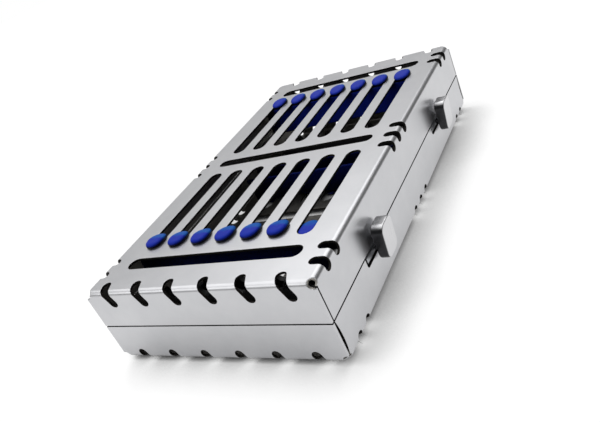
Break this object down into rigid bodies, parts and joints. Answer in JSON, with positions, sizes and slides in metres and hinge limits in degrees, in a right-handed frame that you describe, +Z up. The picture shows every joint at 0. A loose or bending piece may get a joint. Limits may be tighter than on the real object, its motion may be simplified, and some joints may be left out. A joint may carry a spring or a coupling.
{
  "type": "dental instrument cassette",
  "caption": "Hinged slotted stainless case for sterilising dental hand instruments, with sprung finger latches, silicone hold-down channels and toothed instrument rests.",
  "frame": {"origin": "on the resting surface, under the middle of the case; the stud heads under the floor stand on z = 0", "axes": "+Z up, Y along the case's length with +Y away from the pictured near end, +X toward the latch side; the hinges are on the -X side"},
  "size_m": [0.1106, 0.179, 0.0367],
  "materials": {
    "satin_stainless": "satin, electropolished",
    "polished_button_steel": "brushed",
    "spring_steel": "rolled, satin",
    "hinge_pin_steel": "drawn, satin",
    "blue_silicone": "moulded, satin",
    "black_silicone": "moulded, satin"
  },
  "bodies": {
    "base": {"base_tray": "satin_stainless", "near_comb": "black_silicone", "far_comb": "black_silicone", "middle_support": "blue_silicone", "near_hinge_base_leaf": "satin_stainless", "far_hinge_base_leaf": "satin_stainless", "near_hinge_pin": "hinge_pin_steel", "far_hinge_pin": "hinge_pin_steel", "near_latch_keeper": "satin_stainless", "far_latch_keeper": "satin_stainless"},
    "lid": {"lid_cover": "satin_stainless", "near_hold_down": "blue_silicone", "far_hold_down": "blue_silicone", "near_hinge_lid_leaf": "satin_stainless", "far_hinge_lid_leaf": "satin_stainless", "near_latch_mount": "spring_steel", "far_latch_mount": "spring_steel"},
    "near_latch": {"near_latch_button": "polished_button_steel", "near_latch_spring": "spring_steel"},
    "far_latch": {"far_latch_button": "polished_button_steel", "far_latch_spring": "spring_steel"}
  },
  "joints": [
    {"name": "lid_hinge", "type": "hinge", "parent": "base", "child": "lid", "pos_m": [-0.0525, 0, 0.01835], "axis": [0, -1, 0], "range_deg": [0, 180]},
    {"name": "near_latch_press", "type": "hinge", "parent": "lid", "child": "near_latch", "pos_m": [0.0469, -0.0462, 0.0293], "axis": [0, 1, 0], "range_deg": [0, 3.5], "stiffness_Nm_per_rad": 0.3},
    {"name": "far_latch_press", "type": "hinge", "parent": "lid", "child": "far_latch", "pos_m": [0.0469, 0.0462, 0.0293], "axis": [0, 1, 0], "range_deg": [0, 3.5], "stiffness_Nm_per_rad": 0.3}
  ]
}
